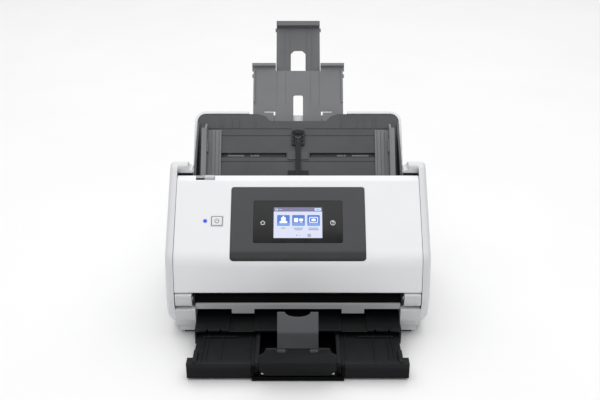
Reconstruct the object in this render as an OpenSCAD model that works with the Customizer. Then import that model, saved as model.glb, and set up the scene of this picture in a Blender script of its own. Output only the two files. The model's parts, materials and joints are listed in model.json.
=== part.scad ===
// Sheet fed document scanner, all sizes in millimetres.
// X runs across the paper, Y runs from the front of the case to the rear, Z is up from the table.
// The frame's origin is on the table, on the centre line, below the middle of the whole footprint.

/* [Case] */
// overall width across the two side covers
body_w = 296; // [292:1:300]
// thickness of one side cover
side_w = 9; // [8:0.5:10]
// wall of the white mouldings
wall = 2.4; // [2:0.2:3]
// tilt of the front face from the table
slope_tilt = 43.7; // [42:0.1:45]
// height of the bend between lower front and sloped front
bend_z = 99.5; // [98:0.5:101]

/* [Paper path] */
// widest sheet that fits between the edge guides
sheet_w = 216; // [210:1:218]
// tilt of the paper path inside the case
path_tilt = 38.8; // [38:0.1:39.5]
// height of the paper path where it leaves the case
exit_z = 53; // [52:0.5:54]
// free height of the paper path
path_gap = 3; // [2.4:0.1:3.6]
// radius of the rubber on the conveying roller
drive_r = 8; // [7.5:0.1:8.2]
// radius of the rubber on the exit roller
exit_r = 7; // [6.5:0.1:7.2]
// radius of the rubber on the pickup roller
pickup_r = 12; // [11.5:0.1:12.2]
// radius of every roller shaft
shaft_r = 3; // [2.5:0.5:3]
// radial running clearance of a shaft in its bearing
fit = 0.05; // [0.02:0.01:0.1]

/* [Input tray] */
// tilt of the input tray from the table
tray_tilt = 51.7; // [51:0.1:52.5]
// front-to-back size of the input tray
tray_deep = 17; // [16:0.5:18]
// inside distance between the edge guides at their widest
guide_gap = 218; // [216:1:219]

/* [Output tray] */
// half width of the drawer that holds the output tray
bay_half = 115.8; // [115:0.1:116]
// how far the front wall of the output tray stands out in front of the case
tray_out = 84; // [80:1:86]
// height of the raised stopper plate's top edge
stopper_top = 41; // [39:0.5:42]

/* [Hidden] */
$fn = 48;

half_w = body_w / 2;
side_in = half_w - side_w;
cover_half = side_in - 0.35;
chassis_in = 116.2;
chassis_t = 2;
gap_half = path_gap / 2;
tray_y = 133.4;
tray_z = 175.7;
// Whole footprint: from the foot of the stopper to the top of the end extension.
footprint_front = -tray_out - 2.5;
end_u = 170.4;
extension_deep = 13.4;
footprint_rear = tray_y + end_u * cos(tray_tilt) + extension_deep * sin(tray_tilt);
mid_y = (footprint_front + footprint_rear) / 2;

white = [0.93, 0.93, 0.93];
light_grey = [0.62, 0.63, 0.65];
dark_grey = [0.22, 0.22, 0.24];
mid_grey = [0.34, 0.34, 0.36];
black = [0.08, 0.08, 0.09];
steel = [0.72, 0.73, 0.75];
rubber = [0.13, 0.13, 0.13];
nylon = [0.88, 0.86, 0.8];

// ---------- outlines ----------

function unit(v) = v / norm(v);
function left_of(v) = [-v[1], v[0]];
function spun(v, a) = [v[0] * cos(a) - v[1] * sin(a), v[0] * sin(a) + v[1] * cos(a)];
function flat(p) = [p[0], p[1]];
function before(p, i) = flat(p[(i + len(p) - 1) % len(p)]);
function after(p, i) = flat(p[(i + 1) % len(p)]);

// Outline [x, y, corner radius] with every edge moved inwards by d; points run anticlockwise.
function inset(p, d) = [
    for (i = [0:len(p) - 1])
        let (
            e = unit(flat(p[i]) - before(p, i)),
            f = unit(after(p, i) - flat(p[i])),
            n = unit(left_of(e) + left_of(f)),
            k = d / (n * left_of(e))
        )
        [p[i][0] + n[0] * k, p[i][1] + n[1] * k, max(p[i][2] - d, 0.2)]
];

// The same outline as plain points, with each corner drawn as an arc of short steps.
function rounded(p, steps = 5) = [
    for (i = [0:len(p) - 1])
        let (
            b = flat(p[i]),
            e = unit(b - before(p, i)),
            f = unit(after(p, i) - b),
            turn = acos(max(-1, min(1, e * f))),
            s = cross(e, f) > 0 ? 1 : -1,
            arm = left_of(e) * s * p[i][2],
            c = b - e * p[i][2] * tan(turn / 2) + arm
        )
        for (k = [0:steps]) c + spun(-arm, s * turn * k / steps)
];

// Outline drawn in the side view and stretched across the machine from x0 to x1.
module across(x0, x1) {
    translate([x0, 0, 0]) rotate([90, 0, 90]) linear_extrude(x1 - x0) children();
}

module rod(x0, x1, y, z, r) {
    translate([x0, y, z]) rotate([0, 90, 0]) cylinder(h = x1 - x0, r = r);
}

module block(x0, x1, y0, y1, z0, z1) {
    translate([x0, y0, z0]) cube([x1 - x0, y1 - y0, z1 - z0]);
}

// Outline drawn flat and raised from z0 to z1.
module slab(z0, z1) {
    translate([0, 0, z0]) linear_extrude(z1 - z0) children();
}

module both_sides() {
    children();
    mirror([1, 0, 0]) children();
}

// Plate standing in the X-Z plane between y0 and y1, drawn as a front view outline.
module upright(y0, y1) {
    translate([0, y1, 0]) rotate([90, 0, 0]) linear_extrude(y1 - y0) children();
}

// ---------- working frames ----------

// y runs up the paper path from the exit, z stands off the path towards the front cover.
module on_path() {
    translate([0, 0, exit_z]) rotate([path_tilt, 0, 0]) children();
}

// y runs up the sloped front face from the bend, z stands out of it.
module on_slope() {
    translate([0, 0, bend_z]) rotate([slope_tilt, 0, 0]) children();
}

// y runs up the face of the input tray, z stands out of it.
module on_tray() {
    translate([0, tray_y, tray_z]) rotate([tray_tilt, 0, 0]) children();
}

function path_point(w, z) = [
    w * cos(path_tilt) - z * sin(path_tilt),
    exit_z + w * sin(path_tilt) + z * cos(path_tilt)
];

// ---------- case outlines in the side view ----------

side_outline = [
    [18, 6, 10], [172, 6, 8], [178, 16, 6], [178, 46, 14], [153, 66, 20], [151, 132.5, 12],
    [95, 177, 6], [87, 180.5, 5], [79, 176.5, 6], [-0.8, 101.2, 24], [-10.5, 54, 14], [-8, 30, 14]
];

cover_outline = [
    [-8, 61, 1.5],
    [path_point(4, 4)[0], 60.2, 0.3],
    concat(path_point(121, 4), [0.3]),
    [91.5, 143, 3],
    [87.5, 161.8, 1.5],
    [75, 168.2, 4],
    [68, bend_z + 65, 7],
    [0, bend_z, 32]
];

rear_outline = [
    [120, 8.5, 1], [171, 8.5, 6], [177.4, 16, 5], [177.4, 45.6, 13], [152.4, 65.6, 19], [150.4, 132, 11],
    [134.5, 144.6, 0.5], [120, 134, 0.5]
];

// ---------- driven parts: teeth, centres and phases ----------

drive_at = [84, -drive_r];
exit_at = [14, -exit_r];
pickup_at = [118, -pickup_r];
drive_teeth = 32;
pickup_teeth = 20;
idler_teeth = 16;
motor_teeth = 12;
motor_angle = -100;
motor_at = drive_at + 22 * [cos(motor_angle), sin(motor_angle)];
reach_di = (drive_teeth + idler_teeth) / 2;
reach_ip = (idler_teeth + pickup_teeth) / 2;
gap_dp = norm(pickup_at - drive_at);
along_dp = (reach_di * reach_di - reach_ip * reach_ip + gap_dp * gap_dp) / (2 * gap_dp);
aside_dp = sqrt(reach_di * reach_di - along_dp * along_dp);
way_dp = unit(pickup_at - drive_at);
idler_at = drive_at + along_dp * way_dp - aside_dp * left_of(way_dp);

function bearing(a, b) = atan2(b[1] - a[1], b[0] - a[0]);
// Phase of gear b so that its teeth fall in the gaps of gear a.
function meshed(a, b, teeth_a, teeth_b, phase_a) =
    bearing(a, b) + 180 - 180 / teeth_b - (phase_a - bearing(a, b)) * teeth_a / teeth_b;
idler_phase = meshed(drive_at, idler_at, drive_teeth, idler_teeth, 0);
pickup_phase = meshed(idler_at, pickup_at, idler_teeth, pickup_teeth, idler_phase);
motor_phase = meshed(drive_at, motor_at, drive_teeth, motor_teeth, 0);

pinch_z = 5.4;
separation_z = 9.4;
gear_x0 = -134;
gear_x1 = -127;
tyre_x = [-78, -26, 26, 78];
tyre_w = 14;

// Spur gear outline of module 1: straight flanks with running backlash.
module gear_outline(teeth, phase) {
    r = teeth / 2;
    pitch = 360 / teeth;
    polygon([
        for (i = [0:teeth - 1])
            for (c = [[-0.34, r - 1.2], [-0.21, r], [-0.1, r + 0.85], [0.1, r + 0.85], [0.21, r], [0.34, r - 1.2]])
                spun([c[1], 0], phase + (i + c[0]) * pitch)
    ]);
}

// Gear on an X axle, placed by its centre in the path frame.
module path_gear(teeth, at, phase, bore) {
    translate([0, at[0], at[1]]) difference() {
        across(gear_x0, gear_x1) gear_outline(teeth, phase);
        rod(gear_x0 - 1, gear_x1 + 1, 0, 0, bore);
    }
}

hinge_y = -1;
hinge_z = 51;
knuckle_r = 9.6;
screw_at = [[46, 31], [150, 18], [140, 110]];

// ---------- base ----------

module shaft_holes() {
    on_path() {
        for (at = [drive_at, exit_at, pickup_at]) rod(-150, 150, at[0], at[1], shaft_r + fit);
        rod(-150, 0, motor_at[0], motor_at[1], 5);
    }
    for (c = screw_at) rod(-150, 150, c[0], c[1], 1.3 + fit);
    rod(-150, 150, 118, 104, shaft_r + fit);
}

module base_frame() color(mid_grey) {
    side = [
        [40, 4.6], [122, 4.6], [122, 10.5], [170, 10.5], [172, 20], [172, 42], [147, 62], [146, 118],
        [112, 118], path_point(126, -1), path_point(8, -1), [3, 55.6], [-2, 55.6], [-5, 53], [-5, 45], [6, 42.5],
        [40, 42.5]
    ];
    difference() {
        union() {
            both_sides() across(chassis_in, chassis_in + chassis_t) polygon(side);
            block(-chassis_in, chassis_in, 34, 166, 4.6, 7);
            block(-chassis_in, chassis_in, 118, 120, 7, 60);
            block(-chassis_in, chassis_in, 60, 118, 38, 40);
            both_sides() block(chassis_in, 138, 40, 160, 4.6, 7);
            on_path() rod(gear_x0, -chassis_in - 1, idler_at[0], idler_at[1], shaft_r - fit);
        }
        shaft_holes();
        for (x = [-60, 0, 60]) block(x - 18, x + 18, 117, 121, 44, 54);
        // room for the stopper's drawer and its rails when the output tray is pushed in
        block(-46.8, 46.8, 33, 70, 4, 8);
    }
}

// Right side cover; the left one is its mirror image without the lever window.
module side_cover() color(white) {
    outer = rounded(side_outline, 6);
    inner = rounded(inset(side_outline, wall), 6);
    difference() {
        across(side_in, half_w) polygon(outer);
        across(side_in - 1, half_w - wall) polygon(inner);
    }
    // horn beside the feed opening, hollowed towards the tray
    intersection() {
        across(side_in - 16.2, side_in)
            polygon(rounded([[82.6, 168, 0.5], [101, 168, 0.5], [95, 177, 5], [87, 180.5, 5], [80.4, 177, 4]], 5));
        upright(70, 110) polygon(concat(
            [[side_in + 1, 160], [side_in + 1, 185], [side_in - 11.2, 185]],
            [for (a = [0:15:90]) [side_in - 16.2 + 5 * cos(a), 176.4 - 5 * sin(a)]],
            [[side_in - 16.2, 160]]
        ));
    }
    // ledge that closes the gap beside the feed opening and the tray
    across(side_in - 12.2, side_in)
        polygon([[95, 168], [93, 165.5], [118, 150], [130, 142.7], [131.6, 145.3], [119.5, 153]]);
    // bosses that take the case screws
    for (c = screw_at)
        difference() {
            rod(chassis_in + chassis_t + 0.2, half_w - wall, c[0], c[1], 4);
            rod(chassis_in, side_in + 2, c[0], c[1], 1.3);
        }
}

module left_side_cover() mirror([1, 0, 0]) side_cover();

module right_side_cover() {
    difference() {
        side_cover();
        color(white) block(half_w - wall - 1, half_w + 1, 96, 128, 98, 118);
    }
}

module rear_cover() color(white) {
    outer = rounded(rear_outline);
    difference() {
        across(-side_in + 0.3, side_in - 0.3) polygon(outer);
        across(-side_in - 1, side_in + 1)
            polygon(rounded(inset([
                [100, -5, 0.1], [171, 8.5, 6], [177.4, 16, 5], [177.4, 45.6, 13], [152.4, 65.6, 19],
                [150.4, 132, 11], [134.5, 144.6, 0.5], [100, 160, 0.1]
            ], wall)));
        block(-200, 200, 100, 136, 0, 140);
        // windows for the sockets
        translate([-70, 170, 28]) rotate([-90, 0, 0]) cylinder(h = 12, r = 5.2);
        block(-35, -21, 170, 182, 22, 34);
        block(4, 21, 170, 182, 21, 36);
        // cooling slots
        for (i = [0:7]) block(60 + i * 7, 63 + i * 7, 170, 182, 18, 40);
        // security slot
        block(-101, -94, 170, 182, 25, 28);
    }
}

// White block under the front corner that stands on its own foot.
module foot_block() color(white) {
    x0 = 115.9;
    x1 = side_in - 0.2;
    difference() {
        across(x0, x1)
            polygon(rounded([[-1, 13, 6], [31, 13, 0.5], [31, 40.6, 0.5], [-10.3, 40.6, 1.5], [-9.6, 26, 8]]));
        across(x0 + wall, x1 - wall)
            polygon(rounded([[4, 10, 0.3], [33, 10, 0.3], [33, 38, 0.3], [-7.8, 38, 0.6], [-7.1, 27, 6]]));
    }
    block(x0 + 2, x1 - 2, 3, 30, 4, 12.9);
}

module left_foot_block() mirror([1, 0, 0]) foot_block();

module right_foot_block() foot_block();

module rubber_feet() color(rubber) {
    both_sides() {
        block(118, 132, 6, 22, 0, 4);
        block(112, 130, 140, 158, 0, 4.6);
    }
}

module lower_guide() color(dark_grey) {
    difference() {
        union() {
            on_path() block(-109.8, 109.8, 6, 121, -gap_half - 2, -gap_half);
            on_path() block(-108, 108, 23, 25, -9, -gap_half - 2);
            // ramp from the lip up to the paper path
            across(-115.5, 115.5) polygon([
                [-3.7, 44.1], path_point(5.4, -gap_half - 2), path_point(7, -gap_half - 2), path_point(7, -gap_half),
                path_point(5.4, -gap_half), [-3.7, 46.1]
            ]);
        }
        on_path() {
            for (x = tyre_x) {
                rod(x - tyre_w / 2 - 1.5, x + tyre_w / 2 + 1.5, drive_at[0], drive_at[1], drive_r + 1.2);
                rod(x - tyre_w / 2 - 1.5, x + tyre_w / 2 + 1.5, exit_at[0], exit_at[1], exit_r + 1.2);
            }
            rod(-24, 24, pickup_at[0], pickup_at[1], pickup_r + 1.2);
            block(-107, 107, 38, 58, -6, 0);
        }
    }
}

module exit_lip() color(light_grey) {
    across(-115.5, 115.5) polygon([[-6, 39], [-3.8, 39], [-3.8, 45.9], [-4, 46], [-6, 45.4]]);
    both_sides() across(49.5, 75) polygon([[-6, 33], [-4.2, 33], [-3.8, 39.2], [-6, 39.2]]);
}

// Contact image sensor housing; glass_z is the outer face of its glass.
module scan_unit(side) {
    difference() {
        block(-109, 109, 36, 60, side > 0 ? 2.2 : -22, side > 0 ? 22 : -4);
        block(-107, 107, 40, 56, side > 0 ? 0 : -8.5, side > 0 ? 8.5 : 0);
        for (x = [-50, 50]) block(x - 46, x + 46, 34, 62, side > 0 ? 14 : -23, side > 0 ? 23 : -14);
    }
}

module lower_scan_unit() color(black) on_path() scan_unit(-1);

module lower_scan_glass() color([0.6, 0.7, 0.72]) on_path() block(-106.5, 106.5, 40.4, 55.6, -3.8, -gap_half - 0.2);

module roller_shaft(at, x0, x1) color(steel) on_path() rod(x0, x1, at[0], at[1], shaft_r);

module tyres(at, r, centres, w) color(rubber) on_path()
    for (x = centres)
        difference() {
            rod(x - w / 2, x + w / 2, at[0], at[1], r);
            rod(x - w, x + w, at[0], at[1], shaft_r);
        }

module drive_shaft() roller_shaft(drive_at, gear_x0 - 0.2, 120);

module drive_tyres() tyres(drive_at, drive_r, tyre_x, tyre_w);

module exit_shaft() {
    roller_shaft(exit_at, -120, 120);
    color(nylon) on_path() pulley(exit_at, exit_r);
}

module exit_tyres() tyres(exit_at, exit_r, tyre_x, tyre_w);

module pickup_shaft() roller_shaft(pickup_at, gear_x0 - 0.2, 120);

module pickup_tyres() tyres(pickup_at, pickup_r, [-12, 12], 18);

// Toothed belt pulley between the chassis side and the paper, with two flanges.
module pulley(at, r) {
    difference() {
        union() {
            rod(-115.4, -110.4, at[0], at[1], r - 1.6);
            rod(-115.4, -114.8, at[0], at[1], r - 0.3);
            rod(-111, -110.4, at[0], at[1], r - 0.3);
        }
        rod(-116, -110, at[0], at[1], shaft_r);
    }
}

module drive_gear() color(nylon) on_path() {
    path_gear(drive_teeth, drive_at, 0, shaft_r);
    pulley(drive_at, drive_r);
}

module pickup_gear() color(nylon) on_path() path_gear(pickup_teeth, pickup_at, pickup_phase, shaft_r);

module idler_gear() color(nylon) on_path() path_gear(idler_teeth, idler_at, idler_phase, shaft_r);

belt_way = bearing(exit_at, drive_at);
belt_lean = asin((drive_r - exit_r) / norm(drive_at - exit_at));

function arc(at, r, a0, a1, steps) = [
    for (i = [0:steps]) at + r * [cos(a0 + (a1 - a0) * i / steps), sin(a0 + (a1 - a0) * i / steps)]
];

// Area inside a belt that runs round both pulleys at a distance from their rims.
module belt_loop(grow) {
    half = 90 + belt_lean;
    polygon(concat(
        arc(drive_at, drive_r - 1.6 + grow, belt_way - half, belt_way + half, 24),
        arc(exit_at, exit_r - 1.6 + grow, belt_way + half, belt_way + 360 - half, 24)
    ));
}

module timing_belt() color(rubber) on_path() across(-114.4, -111.4) difference() {
    belt_loop(1.2);
    belt_loop(0.35);
}

module feed_motor() color(steel) on_path() {
    rod(-chassis_in, -chassis_in + 40, motor_at[0], motor_at[1], 12.5);
    rod(-chassis_in - chassis_t, -chassis_in, motor_at[0], motor_at[1], 4.8);
}

module motor_pinion() color([0.8, 0.68, 0.4]) on_path() {
    path_gear(motor_teeth, motor_at, motor_phase, 1.5);
    rod(gear_x0 - 1, -chassis_in - chassis_t - 0.2, motor_at[0], motor_at[1], 1.5);
}

module main_board() color([0.1, 0.35, 0.2]) {
    block(-105, 60, 168, 169.6, 14, 46);
    block(-60, 20, 166, 168, 20, 40);
}

module power_inlet() color(black) difference() {
    block(-76, -64, 169.7, 174.8, 22, 34);
    translate([-70, 171, 28]) rotate([-90, 0, 0]) cylinder(h = 6, r = 3.2);
}

module usb_port() color(steel) difference() {
    block(-34, -22, 169.7, 176.6, 23, 33.4);
    block(-32.8, -23.2, 171, 178, 24.2, 32.2);
}

module network_port() color(steel) difference() {
    block(5, 20, 169.7, 176.6, 22, 35);
    block(6.5, 18.5, 171, 178, 23.5, 32);
}

module hinge_pins() color(steel) both_sides() rod(chassis_in + chassis_t, 137.5, hinge_y, hinge_z, 3);

// ---------- front cover ----------

module front_cover() color(white) {
    hollow = [
        [-5.2, 58, 0.2], [path_point(-20, 4)[0], 40, 0.2], [120, 110, 0.2], [120, 150, 0.2], [85.5, 159.4, 0.3],
        [75, 165.2, 2], [69, bend_z + 62.3, 5], [2.4, bend_z - 0.4, 29.6]
    ];
    difference() {
        across(-cover_half, cover_half) polygon(rounded(cover_outline, 8));
        across(-cover_half + wall, cover_half - wall) polygon(rounded(hollow, 8));
        // control panel opening
        on_slope() slab(-12, 6) polygon(rounded([[-76, -0.9, 4], [76, -0.9, 4], [76, 86.6, 3], [-76, 86.6, 3]]));
        // power button and light
        on_slope() block(-98, -84.3, 39.3, 51.7, -6, 2);
        on_slope() translate([-104.6, 45.6, -6]) cylinder(h = 8, r = 1.7);
        // slot of the feed selector in the top edge
        block(-117.4, -95.4, 69.4, 76.8, 158, 172);
    }
    // catch studs below the latch hooks
    both_sides() rod(133.4, cover_half - wall, 84, 138, 2.4);
}

module cover_hinge_arms() color(white) both_sides() difference() {
    union() {
        rod(119.4, 138, hinge_y, hinge_z, knuckle_r);
        across(119.4, 138) polygon([
            [hinge_y - knuckle_r, hinge_z], [hinge_y + knuckle_r, hinge_z], [8.4, 59.8], [-9.2, 59.8], [-10.4, 58.6]
        ]);
        across(121, 136) polygon([[-4, 59.8], [8, 59.8], [14, 64.8], [14, 69], [-1.8, 69], [-4, 61.6]]);
    }
    rod(110, 145, hinge_y, hinge_z, 3 + fit);
}

// Blocks on the cover guide that carry a free roller's shaft.
module shaft_blocks(centres, w, y, z, top) {
    for (x = centres) block(x - w / 2, x + w / 2, y - 4, y + 4, gap_half + 1.8, top);
}

module cover_guide() color(dark_grey) difference() {
    union() {
        on_path() {
            block(-115.5, 115.5, 5, 120, gap_half, gap_half + 2);
            for (y = [drive_at[0], exit_at[0]]) shaft_blocks([-98, -52, 52, 98], 4, y, pinch_z, 8.6);
            shaft_blocks([-28, 28], 4, pickup_at[0] - 2, separation_z, 12.6);
        }
        across(-119, 119) polygon([
            path_point(119.6, gap_half), path_point(120.6, gap_half + 2.4), [89.6, 143], [85.6, 157.8], [87.2, 158.2],
            [92, 143.4]
        ]);
    }
    on_path() {
        for (y = [drive_at[0], exit_at[0]]) {
            for (x = tyre_x) rod(x - tyre_w / 2 - 1.5, x + tyre_w / 2 + 1.5, y, pinch_z, 6.4);
            rod(-103, 103, y, pinch_z, 2 + fit);
        }
        rod(-24, 24, pickup_at[0], separation_z, 10.4);
        rod(-31, 31, pickup_at[0], separation_z, 2 + fit);
        block(-109.5, 109.5, 35, 61, 0, 6);
    }
}

module upper_scan_unit() color(black) on_path() translate([0, 0, 1.8]) scan_unit(1);

module upper_scan_glass() color([0.6, 0.7, 0.72]) on_path() block(-106.5, 106.5, 40.4, 55.6, gap_half + 0.2, 4.2);

module pinch_set(y, z, r, centres, w) on_path() {
    color(steel) rod(-102, 102, y, z, 2);
    color(nylon) for (x = centres)
        difference() {
            rod(x - w / 2, x + w / 2, y, z, r);
            rod(x - w, x + w, y, z, 2);
        }
}

module pinch_rollers() pinch_set(drive_at[0], pinch_z, 5, tyre_x, tyre_w - 2);

module exit_pinch_rollers() pinch_set(exit_at[0], pinch_z, 5, tyre_x, tyre_w - 2);

module separation_roller() on_path() {
    color(steel) rod(-30, 30, pickup_at[0], separation_z, 2);
    color(rubber) for (x = [-12, 12])
        difference() {
            rod(x - 9, x + 9, pickup_at[0], separation_z, 9);
            rod(x - 12, x + 12, pickup_at[0], separation_z, 2);
        }
}

// Panel band that follows the sloped face and wraps round the bend.
module panel_bezel() color(dark_grey) {
    difference() {
        intersection() {
            across(-75.7, 75.7) difference() {
                polygon(rounded(inset(cover_outline, -0.5), 8));
                polygon(rounded(inset(cover_outline, 2.2), 8));
            }
            on_slope() translate([0, 0, -12]) linear_extrude(16)
                polygon(rounded([[-75.7, -0.6, 4], [75.7, -0.6, 4], [75.7, 86.3, 3], [-75.7, 86.3, 3]]));
        }
        on_slope() slab(-1.2, 2) glass_outline(0.2);
        on_slope() block(-28.4, 28.4, 24.3, 62.9, -4, 2);
    }
}

module glass_outline(grow) polygon(rounded(inset(
    [[-50, 19.6, 2], [50, 19.6, 2], [50, 69.6, 2], [-50, 69.6, 2]], -grow)));

module touch_glass() color(black) on_slope() slab(-1.1, 0.3) glass_outline(0);

module display() color([0.75, 0.8, 0.9]) on_slope() block(-27.8, 27.8, 24.9, 62.3, -4.2, -1.3);

module panel_board() color([0.1, 0.35, 0.2]) on_slope() {
    block(-70, 70, 12, 80, -7.4, -5.8);
    block(-40, 40, 30, 60, -5.8, -4.4);
}

module power_button() color(white) on_slope() {
    block(-97.7, -84.6, 39.6, 51.4, -3.4, 0.6);
    block(-94, -88, 43, 48, -9, -3.4);
}

module power_light() color([0.3, 0.55, 1]) on_slope() translate([-104.6, 45.6, -4]) cylinder(h = 4.2, r = 1.5);

module feed_selector() color(light_grey) {
    block(-117.2, -86, 70, 76.4, 158.6, 161.2);
    block(-107.2, -95.8, 70, 76.4, 161.2, 168.2);
}

// Shaft with a hook at each end and the finger lever at the right.
// The hooks reach over the catch studs but stand clear of their path, so they don't hold the cover shut.
module cover_latch() {
    color(steel) rod(-136, half_w - wall - 0.8, 118, 104, shaft_r);
    color(mid_grey) difference() {
        both_sides() across(134.6, 135.4)
            polygon([
                [113, 101], [120, 99], [122, 108], [91, 144.2], [82, 147.6], [79.4, 146.2], [82.2, 143.8],
                [87.6, 141.2], [88, 134]
            ]);
        both_sides() rod(130, 140, 118, 104, shaft_r);
    }
    color(light_grey) difference() {
        across(half_w - wall - 0.6, half_w - 0.2)
            polygon(rounded([[97, 112, 2], [97, 100, 3], [112, 99, 2], [124, 99, 3], [124, 111, 3], [112, 112.5, 2]], 4));
        rod(half_w - 5, half_w + 1, 118, 104, 0.6);
    }
}

// ---------- input tray, drawn on its own sloping plane ----------

tray_edge = [[-122.9, -54, 0.5], [122.9, -54, 0.5], [122.4, 45.6, 10], [-122.4, 45.6, 10]];

module tray_outline(grow) polygon(rounded(inset(tray_edge, -grow), 5));

module input_tray() color(dark_grey) on_tray() {
    difference() {
        slab(-3, 0) tray_outline(0);
        // centre of the top edge is cut lower
        slab(-4, 1) polygon([[-57, 48], [-40, 42.8], [-34, 36.7], [34, 36.7], [40, 42.8], [57, 48]]);
        // slot that the edge guides run in
        both_sides() block(14, 112, -9.4, -3.6, -4, 1);
        block(-24, 24, -53, -46, -4, 1);
        // fine grooves of the paper face
        both_sides() for (u = [26.2, 17.4, -15]) block(u > 20 ? 7.8 : 5, 112, u, u + 0.9, -0.7, 1);
    }
    // low ribs of the upper band
    both_sides() for (x = [52, 72, 80.5, 91, 95]) block(x - 0.5, x + 0.5, 29, 41, -0.1, 0.7);
    // side walls, high beside the feed opening and running out towards the top
    both_sides() across(119.8, 122.2)
        polygon([[-54, -0.1], [-54, 6], [-47, 22], [-36, 26], [-20, 23], [34, 2.5], [34, -0.1]]);
    // liner below the slot
    both_sides() {
        block(14, 114, -16, 3, -7.6, -7.2);
        block(112.4, 114, -16, 3, -7.3, -2.9);
    }
    // seat of the roller cover
    block(-12.4, 12.4, -12, -1.5, 0, 1.2);
    // axle of the guide pinion
    translate([0, -6.5, -7.4]) cylinder(h = 4.4, r = 3 - fit);
}

module tray_shell() color(white) on_tray() {
    difference() {
        slab(-tray_deep, 1) tray_outline(3.4);
        slab(-3.2, 2) tray_outline(0.2);
        slab(-tray_deep + 2.4, 0) tray_outline(-1.2);
        block(-60, 60, 30, 60, -15.2, 2);
        block(-140, 140, -70, -52, -30, 5);
    }
}

guide_half = guide_gap / 2;
rack_r = 8;
rack_z0 = -7;
rack_z1 = -4;

// Toothed bar of module 1 with a gap at x = 0, teeth pointing to +y from the line y = 0.
module rack_bar(x0, x1) {
    pitch = PI;
    first = ceil(x0 / pitch);
    last = floor(x1 / pitch) - 1;
    polygon(concat(
        [[x1, -3.4], [x1, -1.2]],
        [
            for (i = [last:-1:first])
                for (c = [[0.84, -1.2], [0.71, 0], [0.6, 0.85], [0.4, 0.85], [0.29, 0], [0.16, -1.2]])
                    [(i + c[0]) * pitch, c[1]]
        ],
        [[x0, -1.2], [x0, -3.4]]
    ));
}

// Wall beside the paper with its turned-out rim, and the ribbed foot that lies on the tray.
module guide_wall() {
    across(-guide_half - 2, -guide_half)
        polygon(rounded([[-40, 0.7, 0.3], [29.5, 0.7, 0.3], [29.5, 12, 5], [23, 20, 5], [-40, 20, 0.3]]));
    block(-guide_half - 6, -guide_half - 2, -40, 22, 17.4, 20);
    block(-guide_half - 0.1, -guide_half + 1.2, -6, 9, 6, 15);
    difference() {
        block(-guide_half, -guide_half + 16, -40, 24.5, 0.7, 2.3);
        for (x = [4, 8.5, 13]) block(-guide_half + x, -guide_half + x + 1, -41, 23, 1.3, 3);
    }
}

// Left guide: upright wall, foot on the tray, and the arm that carries its rack below the pinion.
module edge_guide() color(light_grey) {
    guide_wall();
    block(-guide_half - 2, -guide_half + 12, -9.2, -3.8, rack_z1, 0.8);
    difference() {
        block(-guide_half - 2, -guide_half + 12, -18, -3.8, rack_z0, rack_z1 + 0.01);
        block(-guide_half + 10, -guide_half + 13, -14, -3, rack_z0 - 1, rack_z1 + 0.1);
    }
    translate([0, -6.5 - rack_r, rack_z0]) linear_extrude(rack_z1 - rack_z0) rack_bar(-guide_half + 10, 3);
}

module left_edge_guide() on_tray() edge_guide();

// The right guide is the left one turned half a turn about the pinion, with its wall set back up the tray.
module right_edge_guide() color(light_grey) on_tray() mirror([1, 0, 0]) {
    guide_wall();
    block(-guide_half - 2, -guide_half + 12, -9.2, -3.8, rack_z1, 0.8);
    difference() {
        block(-guide_half - 2, -guide_half + 12, -9.2, 5, rack_z0, rack_z1 + 0.01);
        block(-guide_half + 10, -guide_half + 13, -10, 1, rack_z0 - 1, rack_z1 + 0.1);
    }
    translate([0, -6.5 + rack_r, rack_z0]) linear_extrude(rack_z1 - rack_z0)
        mirror([0, 1]) rack_bar(-guide_half + 10, 3);
}

module guide_pinion() color(nylon) on_tray() translate([0, -6.5, rack_z0]) difference() {
    linear_extrude(rack_z1 - rack_z0) gear_outline(16, 90);
    translate([0, 0, -1]) cylinder(h = 10, r = 3);
}

// Cover over the pickup roller, its spine up the tray, and the snap catch at the top.
module roller_cover() color(mid_grey) on_tray() {
    block(-3.1, 3.1, -50, 6, 1.4, 3.6);
    difference() {
        block(-7.6, 7.6, 5.6, 23.9, 0.2, 3.4);
        both_sides() block(4.2, 5.6, 8, 21, 1.6, 4);
        block(-2.2, 2.2, 8, 14.5, 1.6, 4);
    }
    block(-3, 3, 19, 23.9, 3.4, 6);
    block(-12.4, 12.4, -50, -26, 0.6, 1.8);
}

// Opening through an extension plate, with its two upper corners cut off.
module slot_cut(half, u0, u1, cut) {
    slab(-16, -5) polygon([
        [-half, u0], [half, u0], [half, u1 - cut], [half - cut, u1], [cut - half, u1], [-half, u1 - cut]
    ]);
}

// Shallow grooves up the face of an extension plate.
module face_grooves(places, u0, u1, z) {
    both_sides() for (x = places) block(x - 0.4, x + 0.4, u0, u1, z - 0.4, z + 1);
}

module tray_extension() color(dark_grey) on_tray() difference() {
    union() {
        block(-55.5, 55.5, 10, 104.6, -10.4, -7.8);
        both_sides() block(27.8, 57.2, 104.6, 111, -10.4, -7.8);
        both_sides() block(27.8, 57.2, 110, 113.4, -10.4, -3.6);
        both_sides() block(53.4, 55.5, 63, 106, -7.8, -5.6);
        both_sides() block(55.5, 57, 96, 100, -10.4, -7.8);
    }
    slot_cut(5.9, 37, 73, 1.6);
    // slits round the two snap tongues
    both_sides() {
        block(28.2, 30.2, 36, 52, -12, -6);
        block(28.2, 41.6, 50.4, 52, -12, -6);
    }
    face_grooves([15.5, 26.3], 58, 103, -7.8);
}

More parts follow.
